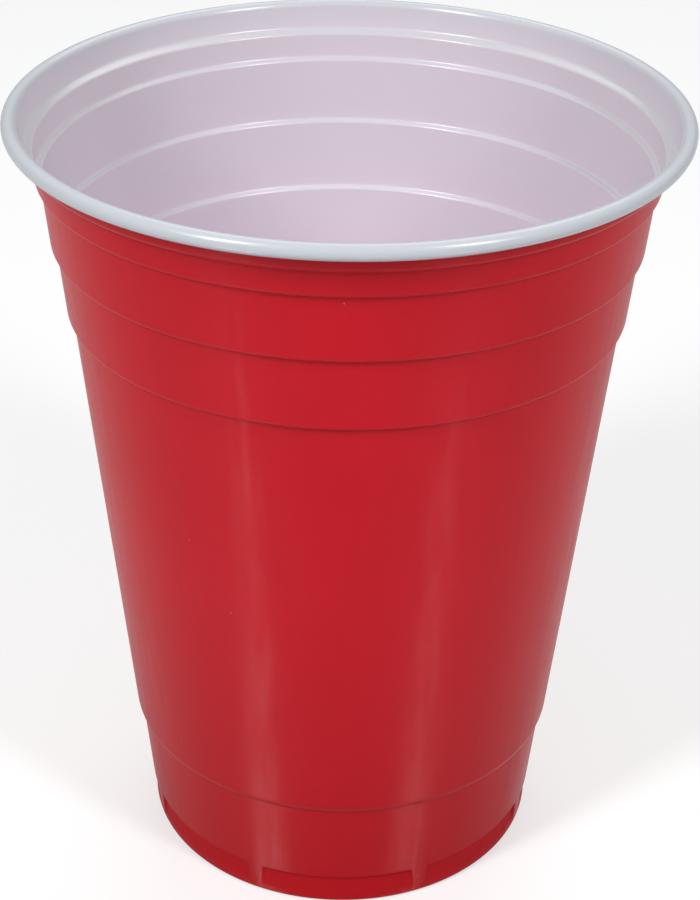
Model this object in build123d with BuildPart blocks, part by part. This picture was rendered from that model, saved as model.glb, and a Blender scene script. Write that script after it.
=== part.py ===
from build123d import *
import os

# A drinking cup formed from one plastic sheet. It stands on z = 0 with its axis on Z.
# Every size is in millimetres, and every angle in degrees.

# Overall sizes
cup_height = 117.6
rim_diameter = 95.0
base_diameter = 60.4
sheet = 0.4

# Rolled rim: the sheet turns outward over the top and back under itself, in short flats
curl_diameter = 2.2
curl_turn = 270
curl_flats = 6

# Neck and bands below the rim, from the top down. A step is how far the wall above stands
# out over the wall below, and a shoulder is the height of the slope that joins them. The neck
# also widens upwards by its own flare.
neck_height = 3.75
neck_flare = 0.77
neck_step = 1.08
neck_shoulder = 0.55
collar_height = 3.9
upper_band_height = 9.65
lower_band_height = 10.65
band_step = 0.7
band_shoulder = 0.9

# Foot band, up to the lowest step
foot_height = 19.4
foot_step = 0.6
foot_shoulder = 1.5

# Windows set back into the foot, with a narrow rib left standing between each pair.
# The front window is a little wider than the others, which share the rest of the turn.
window_count = 8
front_window_turn = 48.6
window_height = 5.4
rib_width = 2.4
rib_point_share = 0.4
rib_hollow_share = 0.5

# Underside: a flat standing ring round a raised floor
edge_break = 0.6
ring_width = 3.4
floor_rise = 2.6
floor_slope_run = 1.2

# Heights of the roll's centre and of the corners under the neck and each band
curl_radius = curl_diameter / 2
curl_z = cup_height - curl_radius
neck_z = curl_z - neck_height
collar_z = neck_z - collar_height
upper_z = collar_z - upper_band_height
lower_z = upper_z - lower_band_height

# The sheet's outer face runs up the neck and on round the inside of the roll
roll_radius = curl_radius - sheet
neck_radius = rim_diameter / 2 - curl_radius - roll_radius
curl_centre = Vector(neck_radius + roll_radius, curl_z)

# All the bands lean by the same draft, given as radius gained per unit of height
base_radius = base_diameter / 2
all_steps = foot_step + band_step + band_step + band_step + neck_step
draft = (neck_radius - neck_flare - all_steps - base_radius) / neck_z
shoulder_flare = neck_flare * neck_shoulder / neck_height
window_depth = draft * window_height


def wall_point(stand_out, z):
    """A point on the outer face of a band that stands out from the foot's own cone."""
    return (base_radius + stand_out + draft * z, z)


def curl_points(radius):
    """The corners of the roll's flats, from the neck over the top and round underneath."""
    angles = [180 - curl_turn * flat / curl_flats for flat in range(curl_flats + 1)]
    return [curl_centre + Vector(radius, 0).rotate(Axis.Z, angle) for angle in angles]


# Each band: the corner at its foot, its step and its shoulder
bands = [
    (foot_height, foot_step, foot_shoulder),
    (lower_z, band_step, band_shoulder),
    (upper_z, band_step, band_shoulder),
    (collar_z, band_step, band_shoulder),
]

# The sheet's outer face in half section, from the middle of the floor up to the roll
ring_inner = base_radius - ring_width
outer_face = [
    (0, floor_rise),
    (ring_inner - floor_slope_run, floor_rise),
    (ring_inner, 0),
    (base_radius - edge_break, 0),
    (base_radius, edge_break),
    (base_radius, window_height),
    wall_point(0, window_height),
]
stand_out = 0
for corner_z, step, shoulder in bands:
    outer_face.append(wall_point(stand_out, corner_z))
    stand_out += step
    outer_face.append(wall_point(stand_out, corner_z + shoulder))
outer_face += [
    wall_point(stand_out, neck_z),
    (neck_radius - neck_flare + shoulder_flare, neck_z + neck_shoulder),
    (neck_radius, curl_z),
]

# The ribs stand at the windows' ends, and start above the broken edge
rib_turn = (360 - front_window_turn) / (window_count - 1)
rib_angles = [front_window_turn / 2 + rib_turn * place for place in range(window_count)]
rib_planes = [Plane.XZ.rotated((0, 0, angle)) for angle in rib_angles]
rib_top = window_height + sheet
rib_start = edge_break + sheet


def rib_solids(width, outer_inset, inner_inset):
    """Tapering ribs, one on each plane, between two faces set in from the foot's outer face."""
    half_top = width / 2
    half_point = half_top * rib_point_share
    outer_radius = base_radius - outer_inset
    inner_radius = base_radius - inner_inset
    with BuildPart() as ribs:
        with BuildSketch(*rib_planes):
            with BuildLine():
                Polyline(
                    (-half_top, rib_top),
                    (half_top, rib_top),
                    (half_point, rib_start),
                    (-half_point, rib_start),
                    close=True,
                )
            make_face()
        extrude(amount=rim_diameter / 2)
        with BuildSketch(Plane.XZ):
            with BuildLine():
                Polyline(
                    (inner_radius, rib_start),
                    (outer_radius, rib_start),
                    (outer_radius + window_depth, window_height),
                    (outer_radius + window_depth, rib_top),
                    (inner_radius, rib_top),
                    close=True,
                )
            make_face()
        revolve(axis=Axis.Z, mode=Mode.INTERSECT)
    return ribs.part


with BuildPart() as cup:
    with BuildSketch(Plane.XZ):
        # Floor, foot and bands: the sheet's thickness lies inside its outer face
        with BuildLine():
            Polyline(*outer_face)
            offset(amount=sheet, side=Side.LEFT, kind=Kind.INTERSECTION)
        make_face()
        # Rolled rim
        with BuildLine():
            roll_inside = Polyline(*curl_points(roll_radius))
            roll_outside = Polyline(*curl_points(curl_radius))
            Line(roll_inside @ 0, roll_outside @ 0)
            Line(roll_inside @ 1, roll_outside @ 1)
        make_face()
    revolve(axis=Axis.Z)
    # The ribs stand out as far as the foot band above them, and are hollow behind
    add(rib_solids(rib_width, 0, sheet / 2))
    add(rib_solids(rib_width * rib_hollow_share, sheet, sheet + sheet), mode=Mode.SUBTRACT)

cup.part.label = "cup"
os.makedirs("parts", exist_ok=True)
export_step(cup.part, "parts/cup.step")
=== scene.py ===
import bpy
import bmesh
import math
from mathutils import Matrix, Vector


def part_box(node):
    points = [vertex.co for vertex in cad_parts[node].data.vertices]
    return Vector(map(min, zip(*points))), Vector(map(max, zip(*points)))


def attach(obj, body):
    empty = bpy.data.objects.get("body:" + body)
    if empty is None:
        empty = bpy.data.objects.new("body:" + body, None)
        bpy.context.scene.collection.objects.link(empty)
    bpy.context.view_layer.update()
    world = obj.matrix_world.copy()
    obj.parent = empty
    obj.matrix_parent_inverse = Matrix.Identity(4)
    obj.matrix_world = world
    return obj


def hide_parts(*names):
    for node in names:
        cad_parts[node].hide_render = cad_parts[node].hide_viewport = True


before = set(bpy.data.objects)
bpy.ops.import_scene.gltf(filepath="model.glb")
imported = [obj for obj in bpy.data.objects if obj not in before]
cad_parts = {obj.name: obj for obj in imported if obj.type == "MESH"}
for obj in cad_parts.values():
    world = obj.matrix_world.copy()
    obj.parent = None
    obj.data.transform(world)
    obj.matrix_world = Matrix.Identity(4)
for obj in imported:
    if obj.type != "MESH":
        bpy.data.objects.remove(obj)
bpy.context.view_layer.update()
cupLow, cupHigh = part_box("cup")
mm = 0.001
sameLength = 1e-6  # m
sameTurn = 1e-4  # radians
print("frame loaded")


# Helpers for selecting in code and for finishing a piece

def deselectAll():
    if bpy.context.object and bpy.context.object.mode != "OBJECT":
        bpy.ops.object.mode_set(mode="OBJECT")
    bpy.ops.object.select_all(action="DESELECT")


def pick(kind, test, within=False):
    # select the vertices, edges or faces that pass the test; within keeps to what is selected now
    bpy.ops.mesh.select_mode(type=kind)
    live = bmesh.from_edit_mesh(bpy.context.object.data)
    parts = {"VERT": live.verts, "EDGE": live.edges, "FACE": live.faces}[kind]
    chosen = [part for part in parts if (part.select or not within) and test(part)]
    bpy.ops.mesh.select_all(action="DESELECT")
    for part in chosen:
        part.select = True
    live.select_flush_mode()
    bmesh.update_edit_mesh(bpy.context.object.data)


def mergeDoubles(distance):
    bpy.ops.mesh.select_all(action="SELECT")
    bpy.ops.mesh.remove_doubles(threshold=distance)


def applyModifier(piece, kind, **settings):
    modifier = piece.modifiers.new(kind.title(), kind)
    for name, value in settings.items():
        setattr(modifier, name, value)
    bpy.context.view_layer.objects.active = piece
    bpy.ops.object.modifier_apply(modifier=modifier.name)


def near(value, wanted):
    return abs(value - wanted) < sameLength


# Cup: the red face of the sheet is drawn as half a section, turned round and thickened inwards

cupForm = {  # mm as floats, degrees for leans and turns
    "sheet": 0.4,
    "baseRadius": 30.2,
    "floorRise": 2.6,
    "ringWidth": 3.4,
    "floorSlopeRun": 1.2,
    "floorBend": 0.6,
    "floorBendSteps": 5,
    "baseEdge": 0.8,
    "baseEdgeSteps": 7,
    "footHeight": 19.4,
    "lowerBandHeight": 10.65,
    "upperBandHeight": 9.65,
    "collarHeight": 3.9,
    # a shoulder leans out by that much from upright, and its round takes up that share of the slope
    "foot": {"step": 0.6, "lean": 47, "round": 0.82},
    "lowerBand": {"step": 0.7, "lean": 80, "round": 0.82},
    "upperBand": {"step": 0.7, "lean": 78, "round": 0.82},
    "collar": {"step": 0.7, "lean": 78, "round": 0.82},
    "neck": {"step": 1.08, "lean": 66, "round": 0.4},
    "creaseRadius": 0.12,
    "creaseSteps": 3,
    "roundSteps": 9,
    "neckRise": 3.75,
    "neckFlare": 0.77,
    "curlRadius": 1.1,
    "curlTurn": 282,
    "curlSteps": 30,
    "normalWeight": 60,
}

footWindow = {  # mm, degrees for turns
    "count": 8,
    "frontTurn": 48.6,
    "low": 0.95,
    "high": 5.4,
    "depth": 0.57,
    "ribWidth": 2.4,
    "ribPointShare": 0.75,
    "ribSideSlope": 0.3,
    "columns": 22,
    "ledgeTurn": 60,
    "edgeRound": 0.05,
    "edgeRoundSteps": 2,
}

# everything below works in metres
form = {key: value * mm for key, value in cupForm.items() if isinstance(value, float)}
rimRadius = min(-cupLow.x, -cupLow.y, cupHigh.x, cupHigh.y)
rollRadius = form["curlRadius"] - form["sheet"]
neckRadius = rimRadius - form["curlRadius"] - rollRadius
curlZ = cupHigh.z - form["curlRadius"]
curlCentre = Vector((neckRadius + rollRadius, curlZ))
neckZ = curlZ - form["neckRise"]
collarZ = neckZ - form["collarHeight"]
upperZ = collarZ - form["upperBandHeight"]
lowerZ = upperZ - form["lowerBandHeight"]
shoulders = [
    (form["footHeight"], cupForm["foot"]),
    (lowerZ, cupForm["lowerBand"]),
    (upperZ, cupForm["upperBand"]),
    (collarZ, cupForm["collar"]),
]
allSteps = sum(shoulder["step"] for height, shoulder in shoulders) * mm
neckDraft = cupForm["neckFlare"] / cupForm["neckRise"]
neckTilt = math.atan(neckDraft)
neckFoot = neckRadius - form["neckFlare"]
draft = (neckFoot - cupForm["neck"]["step"] * mm - allSteps - form["baseRadius"]) / neckZ
windowLow, windowHigh = footWindow["low"] * mm, footWindow["high"] * mm


def wallPoint(standOut, z):
    return Vector((form["baseRadius"] + standOut + draft * z, z))


def shoulderCorners(crook, shoulder, draftAbove):
    # from the crook, a slope at that lean, and a round where it meets the wall above
    lean = math.radians(shoulder["lean"])
    slope = shoulder["step"] * mm / (math.sin(lean) - draftAbove * math.cos(lean))
    corner = crook + slope * Vector((math.sin(lean), math.cos(lean)))
    roundRadius = shoulder["round"] * slope / math.tan((lean - math.atan(draftAbove)) / 2)
    return [
        (crook, form["creaseRadius"], cupForm["creaseSteps"]),
        (corner, roundRadius, cupForm["roundSteps"]),
    ]


def sectionCorners():
    # corner, radius and steps, up the red face from the middle of the floor to the start of the curl
    ringInner = form["baseRadius"] - form["ringWidth"]
    slopeTop = Vector((ringInner - form["floorSlopeRun"], form["floorRise"]))
    corners = [
        (Vector((0, form["floorRise"])), 0, 0),
        (slopeTop, form["floorBend"], cupForm["floorBendSteps"]),
        (Vector((ringInner, 0)), form["floorBend"], cupForm["floorBendSteps"]),
        (Vector((form["baseRadius"], 0)), form["baseEdge"], cupForm["baseEdgeSteps"]),
        (wallPoint(0, windowLow), 0, 0),
        (wallPoint(0, windowHigh), 0, 0),
    ]
    standOut = 0
    for height, shoulder in shoulders:
        corners += shoulderCorners(wallPoint(standOut, height), shoulder, draft)
        standOut += shoulder["step"] * mm
    corners += shoulderCorners(wallPoint(standOut, neckZ), cupForm["neck"], neckDraft)
    curlStart = curlCentre + rollRadius * Vector((-math.cos(neckTilt), math.sin(neckTilt)))
    corners.append((curlStart, 0, 0))
    return corners


def drawSection(name):
    # one point, extruded from corner to corner and spun round at each bend
    corners = sectionCorners()
    pen = corners[0][0]
    deselectAll()
    bpy.ops.mesh.primitive_plane_add(size=mm, location=(0, 0, 0))
    bpy.context.object.name = name
    bpy.ops.object.mode_set(mode="EDIT")
    bpy.ops.mesh.merge(type="CENTER")
    bpy.ops.transform.translate(value=(pen.x, 0, pen.y))
    for place in range(1, len(corners)):
        corner, radius, steps = corners[place]
        target = corner
        if radius:
            wayIn = (corner - corners[place - 1][0]).normalized()
            wayOut = (corners[place + 1][0] - corner).normalized()
            turn = math.atan2(wayIn.x * wayOut.y - wayIn.y * wayOut.x, wayIn.dot(wayOut))
            cutBack = radius * math.tan(abs(turn) / 2)
            target = corner - cutBack * wayIn
        step = target - pen
        bpy.ops.mesh.extrude_region_move(TRANSFORM_OT_translate={"value": (step.x, 0, step.y)})
        pen = target
        if radius:
            centre = pen + math.copysign(radius, turn) * Vector((-wayIn.y, wayIn.x))
            bpy.ops.mesh.spin(steps=steps, angle=turn, center=(centre.x, 0, centre.y), axis=(0, 1, 0))
            pen = corner + cutBack * wayOut
    # the curl goes over the top and back under itself
    curlTurn = math.radians(cupForm["curlTurn"]) - neckTilt
    curlAxis = (curlCentre.x, 0, curlCentre.y)
    bpy.ops.mesh.spin(steps=cupForm["curlSteps"], angle=-curlTurn, center=curlAxis, axis=(0, 1, 0))
    return bpy.context.object


def turnOf(co):
    return math.atan2(co.y, co.x)


def makeSector(name, turn):
    # one window of the foot with half a rib at each end, and the whole wall above it
    lowRadius, highRadius = wallPoint(0, windowLow).x, wallPoint(0, windowHigh).x
    setBack = highRadius - footWindow["depth"] * mm
    halfRib = footWindow["ribWidth"] * mm / 2 / highRadius
    ribTaper = halfRib * (1 - footWindow["ribPointShare"])
    sideSlope = footWindow["ribSideSlope"] * mm / highRadius
    sector = drawSection(name)
    bpy.ops.mesh.select_all(action="SELECT")
    for steps, part in ((1, halfRib), (footWindow["columns"], turn - 2 * halfRib), (1, halfRib)):
        bpy.ops.mesh.spin(steps=steps, angle=-part, center=(0, 0, 0), axis=(0, 0, 1))
    mergeDoubles(sameLength)

    def isWindow(face):
        co = face.calc_center_median()
        betweenRibs = halfRib < turnOf(co) < turn - halfRib
        onWall = co.xy.length > lowRadius - mm
        return windowLow < co.z < windowHigh and betweenRibs and onWall

    def isAt(column, z, radius):
        def test(vert):
            onRing = near(vert.co.z, z) and near(vert.co.xy.length, radius)
            return onRing and abs(turnOf(vert.co) - column) < sameTurn
        return test

    # the window is pushed in at its top, until its wall stands about upright
    pick("FACE", isWindow)
    bpy.ops.mesh.extrude_region()
    pick("VERT", lambda vert: near(vert.co.z, windowHigh), within=True)
    pushIn = setBack / highRadius
    bpy.ops.transform.resize(value=(pushIn, pushIn, 1), center_override=(0, 0, windowHigh))
    mergeDoubles(sameLength)
    # the ribs at its ends narrow downwards, and their sides slope
    for column, inwards in ((halfRib, -1), (turn - halfRib, 1)):
        pick("VERT", isAt(column, windowLow, lowRadius))
        bpy.ops.transform.rotate(value=-inwards * ribTaper, orient_axis="Z", center_override=(0, 0, 0))
        pick("VERT", isAt(column, windowHigh, setBack))
        bpy.ops.transform.rotate(value=inwards * sideSlope, orient_axis="Z", center_override=(0, 0, 0))
    return sector


def turnInto(piece, angle):
    bpy.ops.object.mode_set(mode="OBJECT")
    piece.rotation_euler.z = angle
    bpy.ops.object.transform_apply(location=True, rotation=True, scale=True)


def wallArea(face):
    return face.calc_area() if face.calc_center_median().z > form["footHeight"] else 0


def makeCup():
    frontTurn = math.radians(footWindow["frontTurn"])
    others = footWindow["count"] - 1
    sectorTurn = (2 * math.pi - frontTurn) / others
    front = makeSector("cupFront", frontTurn)
    turnInto(front, -math.pi / 2 - frontTurn / 2)
    cup = makeSector("cup_wall", sectorTurn)
    bpy.ops.mesh.select_all(action="SELECT")
    copies = others - 1
    copiesTurn = copies * sectorTurn
    bpy.ops.mesh.spin(steps=copies, dupli=True, angle=-copiesTurn, center=(0, 0, 0), axis=(0, 0, 1))
    turnInto(cup, -math.pi / 2 + frontTurn / 2)
    front.select_set(True)
    bpy.ops.object.join()
    bpy.ops.object.mode_set(mode="EDIT")
    mergeDoubles(2 * sameLength)
    bpy.ops.mesh.normals_make_consistent(inside=False)
    # on an open sheet the normals may come out facing the axis
    wall = max(bmesh.from_edit_mesh(cup.data).faces, key=wallArea)
    if wall.normal.dot(wall.calc_center_median() * Vector((1, 1, 0))) < 0:
        bpy.ops.mesh.flip_normals()
    # the windows' ledges get a small round, after the sheet has its thickness
    bpy.ops.mesh.select_mode(type="EDGE")
    bpy.ops.mesh.select_all(action="DESELECT")
    bpy.ops.mesh.edges_select_sharp(sharpness=math.radians(footWindow["ledgeTurn"]))
    pick("EDGE", lambda edge: all(near(vert.co.z, windowHigh) for vert in edge.verts), within=True)
    bpy.ops.transform.edge_bevelweight(value=1)
    bpy.ops.object.mode_set(mode="OBJECT")
    return cup


cup = makeCup()
print("cup sheet", len(cup.data.vertices), "points")


# Looks

noiseMiddle = (0.3, 0.7)


def newMaterial(name):
    material = bpy.data.materials.new(name)
    material.use_nodes = True
    return material, material.node_tree, material.node_tree.nodes["Principled BSDF"]


def feed(tree, socket, value):
    # an input takes another node's output or a plain value
    if isinstance(value, bpy.types.NodeSocket):
        tree.links.new(value, socket)
    else:
        socket.default_value = value


def addNode(tree, kind, inputs):
    # inputs go by name or number
    node = tree.nodes.new(kind)
    for key, value in inputs.items():
        feed(tree, node.inputs[key], value)
    return node


def maths(tree, operation, *values):
    node = tree.nodes.new("ShaderNodeMath")
    node.operation = operation
    for number, value in enumerate(values):
        feed(tree, node.inputs[number], value)
    return node.outputs[0]


def mapRange(tree, value, span, low=0, high=1):
    # low where the value is at the span's start, high at its end
    inputs = {0: value, 1: span[0], 2: span[1], 3: low, 4: high}
    return addNode(tree, "ShaderNodeMapRange", inputs).outputs[0]


def noiseOn(tree, place, noise):
    # drawn out along Z by the stretch
    stretched = {"Vector": place, "Scale": (1, 1, 1 / noise["stretch"])}
    drawnOut = addNode(tree, "ShaderNodeMapping", stretched).outputs[0]
    inputs = {"Vector": drawnOut, "Scale": noise["scale"], "Detail": noise["detail"]}
    return addNode(tree, "ShaderNodeTexNoise", inputs).outputs["Fac"]


def zOf(tree, vector):
    return addNode(tree, "ShaderNodeSeparateXYZ", {0: vector}).outputs["Z"]


def axisDistance(tree, place):
    # how far a point lies from the cup's axis
    flat = addNode(tree, "ShaderNodeMapping", {"Vector": place, "Scale": (1, 1, 0)})
    length = addNode(tree, "ShaderNodeVectorMath", {0: flat.outputs[0]})
    length.operation = "LENGTH"
    return length.outputs["Value"]


def mixColour(tree, factor, first, second):
    node = tree.nodes.new("ShaderNodeMix")
    node.data_type = "RGBA"
    for number, value in ((0, factor), (6, first), (7, second)):
        feed(tree, node.inputs[number], value)
    return node.outputs[2]


# the fine surface that both faces of the sheet have
peel = {"stretch": 1.5, "scale": 2600, "detail": 2}
peelBump = {"Strength": 0.05, "Distance": 0.1 * mm}

redLook = {  # spans in m
    "colour": (0.575, 0.0065, 0.0165, 1),
    "lines": {"stretch": 30, "scale": 900, "detail": 3},
    "lineColour": (0.595, 0.0087, 0.0195, 1),
    "lineShare": 0.6,
    "lineBump": {"Strength": 0.06, "Distance": 0.2 * mm},
    "mottle": {"stretch": 2, "scale": 90, "detail": 4},
    "mottleColour": (0.535, 0.0057, 0.0145, 1),
    "mottleShare": 0.6,
    # painted shade: the wall is darker towards the foot, as if less light reached it there
    "footShadeColour": (0.440, 0.0017, 0.0072, 1),
    "footShadeSpan": (0.06, 0.0),
    "speckColour": (0.64, 0.22, 0.22, 1),
    "speckScale": 120,
    "speckSize": 0.014,
    "glossiest": 0.28,
    "dullest": 0.35,
    "windowDull": 0.22,
    "windowSpan": (0.05 * mm, 0.15 * mm),
    "shine": 0.145,
}


def makeRed():
    material, tree, shader = newMaterial("cup_red")
    place = tree.nodes.new("ShaderNodeTexCoord").outputs["Object"]
    height = zOf(tree, place)
    lines = noiseOn(tree, place, redLook["lines"])
    mottle = noiseOn(tree, place, redLook["mottle"])
    # painted shade: the red is darker towards the foot, where less light reaches the wall; the sheet
    # also shows faint upright lines
    lined = mapRange(tree, lines, noiseMiddle, 0, redLook["lineShare"])
    mottled = mapRange(tree, mottle, noiseMiddle, 0, redLook["mottleShare"])
    # painted shade: darker towards the foot
    footShading = mapRange(tree, height, redLook["footShadeSpan"])
    colour = mixColour(tree, lined, redLook["colour"], redLook["lineColour"])
    colour = mixColour(tree, mottled, colour, redLook["mottleColour"])
    colour = mixColour(tree, footShading, colour, redLook["footShadeColour"])
    # a few tiny pale specks in the plastic
    cells = addNode(tree, "ShaderNodeTexVoronoi", {"Vector": place, "Scale": redLook["speckScale"]})
    speck = maths(tree, "LESS_THAN", cells.outputs["Distance"], redLook["speckSize"])
    colour = mixColour(tree, speck, colour, redLook["speckColour"])
    tree.links.new(colour, shader.inputs["Base Color"])
    # the windows lie behind the wall's own cone, and are duller
    gloss = mapRange(tree, lines, noiseMiddle, redLook["glossiest"], redLook["dullest"])
    cone = maths(tree, "MULTIPLY_ADD", height, draft, form["baseRadius"])
    behind = maths(tree, "SUBTRACT", cone, axisDistance(tree, place))
    dull = mapRange(tree, behind, redLook["windowSpan"], 0, redLook["windowDull"])
    tree.links.new(maths(tree, "ADD", gloss, dull), shader.inputs["Roughness"])
    shader.inputs["Specular IOR Level"].default_value = redLook["shine"]
    fine = addNode(tree, "ShaderNodeBump", {"Height": noiseOn(tree, place, peel), **peelBump})
    drawn = {"Height": lines, "Normal": fine.outputs[0], **redLook["lineBump"]}
    tree.links.new(addNode(tree, "ShaderNodeBump", drawn).outputs[0], shader.inputs["Normal"])
    return material


whiteLook = {  # spans in m
    "colour": (0.702, 0.63, 0.702, 1),
    "mottle": {"stretch": 2, "scale": 70, "detail": 4},
    "mottleColour": (0.678, 0.598, 0.673, 1),
    "mottleShare": 0.3,
    # painted reflection: ledges facing up get the grey-blue tint of the highlights they mirror
    "ledgeReflectionColour": (0.64, 0.622, 0.668, 1),
    "ledgeFacing": (0.3, 0.7),
    "rimColour": (0.57, 0.597, 0.643, 1),
    "rimSpan": (0.0463, 0.0444),
    # painted light: the inside is lighter deep down, as if lit by light thrown up from the cup's floor
    "deepLightColour": (0.84, 0.715, 0.805, 1),
    "deepLightSpan": (0.1, 0.05),
    "roughness": 0.23,
    "shine": 0.5,
}


def makeWhite():
    material, tree, shader = newMaterial("cup_white")
    coordinates = tree.nodes.new("ShaderNodeTexCoord")
    place = coordinates.outputs["Object"]
    mottle = noiseOn(tree, place, whiteLook["mottle"])
    mottled = mapRange(tree, mottle, noiseMiddle, 0, whiteLook["mottleShare"])
    colour = mixColour(tree, mottled, whiteLook["colour"], whiteLook["mottleColour"])
    # the white layer lets less of the red through at the rim, where it is thick. Painted reflection:
    # the ledges, which face up, get a grey-blue tint like the highlights they mirror. Painted light:
    # the wall is lighter towards the bottom, as if lit from the cup's floor
    # painted reflection: grey-blue tint where the surface faces up
    ledgeReflection = mapRange(tree, zOf(tree, coordinates.outputs["Normal"]), whiteLook["ledgeFacing"])
    inside = mapRange(tree, axisDistance(tree, place), whiteLook["rimSpan"])
    # painted light: lighter towards the bottom of the inside
    deepLight = mapRange(tree, zOf(tree, place), whiteLook["deepLightSpan"])
    colour = mixColour(tree, ledgeReflection, colour, whiteLook["ledgeReflectionColour"])
    colour = mixColour(tree, inside, whiteLook["rimColour"], colour)
    colour = mixColour(tree, deepLight, colour, whiteLook["deepLightColour"])
    tree.links.new(colour, shader.inputs["Base Color"])
    shader.inputs["Roughness"].default_value = whiteLook["roughness"]
    shader.inputs["Specular IOR Level"].default_value = whiteLook["shine"]
    fine = addNode(tree, "ShaderNodeBump", {"Height": noiseOn(tree, place, peel), **peelBump})
    tree.links.new(fine.outputs[0], shader.inputs["Normal"])
    return material


cup.data.materials.clear()
cup.data.materials.append(makeRed())
cup.data.materials.append(makeWhite())

deselectAll()
cup.select_set(True)
bpy.context.view_layer.objects.active = cup
applyModifier(
    cup,
    "SOLIDIFY",
    thickness=form["sheet"],
    offset=-1,
    use_even_offset=True,
    material_offset=1,
    material_offset_rim=1,
)
applyModifier(
    cup,
    "BEVEL",
    limit_method="WEIGHT",
    width=footWindow["edgeRound"] * mm,
    segments=footWindow["edgeRoundSteps"],
    use_clamp_overlap=False,
)
bpy.ops.object.shade_smooth()
applyModifier(cup, "WEIGHTED_NORMAL", weight=cupForm["normalWeight"], keep_sharp=False)
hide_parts("cup")
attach(cup, "root")
print("cup", len(cup.data.polygons), "faces")


# Floor, lights and camera

floorLook = {  # m
    "size": 12.0,
    "drop": 0.02 * mm,
    "colour": (0.52, 0.52, 0.52, 1),
    "roughness": 0.6,
    "coatRoughness": 0.2,
    "coatIor": 3.1,
    "glowColour": (1, 1, 1, 1),
    "glow": 0.5,
    # painted shade: the glow seen in reflections is dimmer close to the foot
    "footShadeSpan": (0.030, 0.065),
    "footShadeShare": 0.2,
    "farShare": 0.82,
}


def makeFloor():
    deselectAll()
    bpy.ops.mesh.primitive_plane_add(size=floorLook["size"], location=(0, 0, -floorLook["drop"]))
    floor = bpy.context.object
    floor.name = "floor"
    material, tree, shader = newMaterial("floor_pale")
    shader.inputs["Base Color"].default_value = floorLook["colour"]
    shader.inputs["Roughness"].default_value = floorLook["roughness"]
    shader.inputs["Coat Roughness"].default_value = floorLook["coatRoughness"]
    shader.inputs["Coat IOR"].default_value = floorLook["coatIor"]
    shader.inputs["Emission Color"].default_value = floorLook["glowColour"]
    # the floor is polished, and its sheen gives the wall its upright streaks; to the camera it is matt
    # and near white
    path = tree.nodes.new("ShaderNodeLightPath")
    toCamera = path.outputs["Is Camera Ray"]
    tree.links.new(maths(tree, "SUBTRACT", 1.0, toCamera), shader.inputs["Coat Weight"])
    # painted shade: in the sheen of the wall, the floor's glow is dimmer close to the foot, like the
    # cup's contact shadow
    reach = axisDistance(tree, tree.nodes.new("ShaderNodeTexCoord").outputs["Object"])
    clear = mapRange(tree, reach, floorLook["footShadeSpan"], floorLook["footShadeShare"], floorLook["farShare"])
    mirrored = maths(tree, "MULTIPLY", path.outputs["Is Glossy Ray"], clear)
    seen = maths(tree, "MAXIMUM", toCamera, mirrored)
    seen = maths(tree, "MAXIMUM", seen, path.outputs["Is Transmission Ray"])
    glow = maths(tree, "MULTIPLY", seen, floorLook["glow"])
    tree.links.new(glow, shader.inputs["Emission Strength"])
    floor.data.materials.append(material)


worldLook = {
    "colour": (0.96, 0.98, 1.0, 1),
    "strength": 0.28,
}


def makeWorld():
    world = bpy.data.worlds.new("studio")
    world.use_nodes = True
    background = world.node_tree.nodes["Background"]
    background.inputs["Color"].default_value = worldLook["colour"]
    background.inputs["Strength"].default_value = worldLook["strength"]
    bpy.context.scene.world = world


lampAim = Vector((0, 0, 0.06))
lamps = [  # place in m, size in m, watts
    {"name": "left", "place": (-0.53, -0.54, 0.755), "size": (0.15, 0.44), "watts": 5.8},
    {"name": "right", "place": (0.54, -0.54, 0.755), "size": (0.15, 0.44), "watts": 4.4},
    {"name": "back", "place": (0.1, 0.72, 0.95), "size": (0.9, 0.5), "watts": 3.2},
]


def makeLamps():
    for lamp in lamps:
        deselectAll()
        bpy.ops.object.light_add(type="AREA", location=lamp["place"])
        light = bpy.context.object
        light.name = lamp["name"]
        light.data.shape = "RECTANGLE"
        light.data.size, light.data.size_y = lamp["size"]
        light.data.energy = lamp["watts"]
        light.rotation_euler = (lampAim - light.location).to_track_quat("-Z", "Y").to_euler()


cameraPlace = {  # mm and degrees, from matching the cup's outline and step lines
    "distance": 262.6,
    "height": 215.36,
    "pitch": 30.172,
    "yaw": 0.166,
    "roll": 0.911,
    "round": 0.5,
    "lens": 80.54,
    "sensor": 36,
    "clipStart": 10,
}


def makeCamera():
    deselectAll()
    bpy.ops.object.camera_add()
    camera = bpy.context.object
    camera.data.lens = cameraPlace["lens"]
    camera.data.sensor_width = cameraPlace["sensor"]
    camera.data.clip_start = cameraPlace["clipStart"] * mm
    place = Matrix.Translation((0, -cameraPlace["distance"] * mm, cameraPlace["height"] * mm))
    turns = [("Z", -cameraPlace["yaw"]), ("X", 90 - cameraPlace["pitch"]), ("Z", cameraPlace["roll"])]
    for axis, angle in turns:
        place = place @ Matrix.Rotation(math.radians(angle), 4, axis)
    camera.matrix_world = Matrix.Rotation(math.radians(cameraPlace["round"]), 4, "Z") @ place
    bpy.context.scene.camera = camera


makeFloor()
makeWorld()
makeLamps()
makeCamera()
bpy.context.scene.view_settings.view_transform = "Standard"
print("stage set")
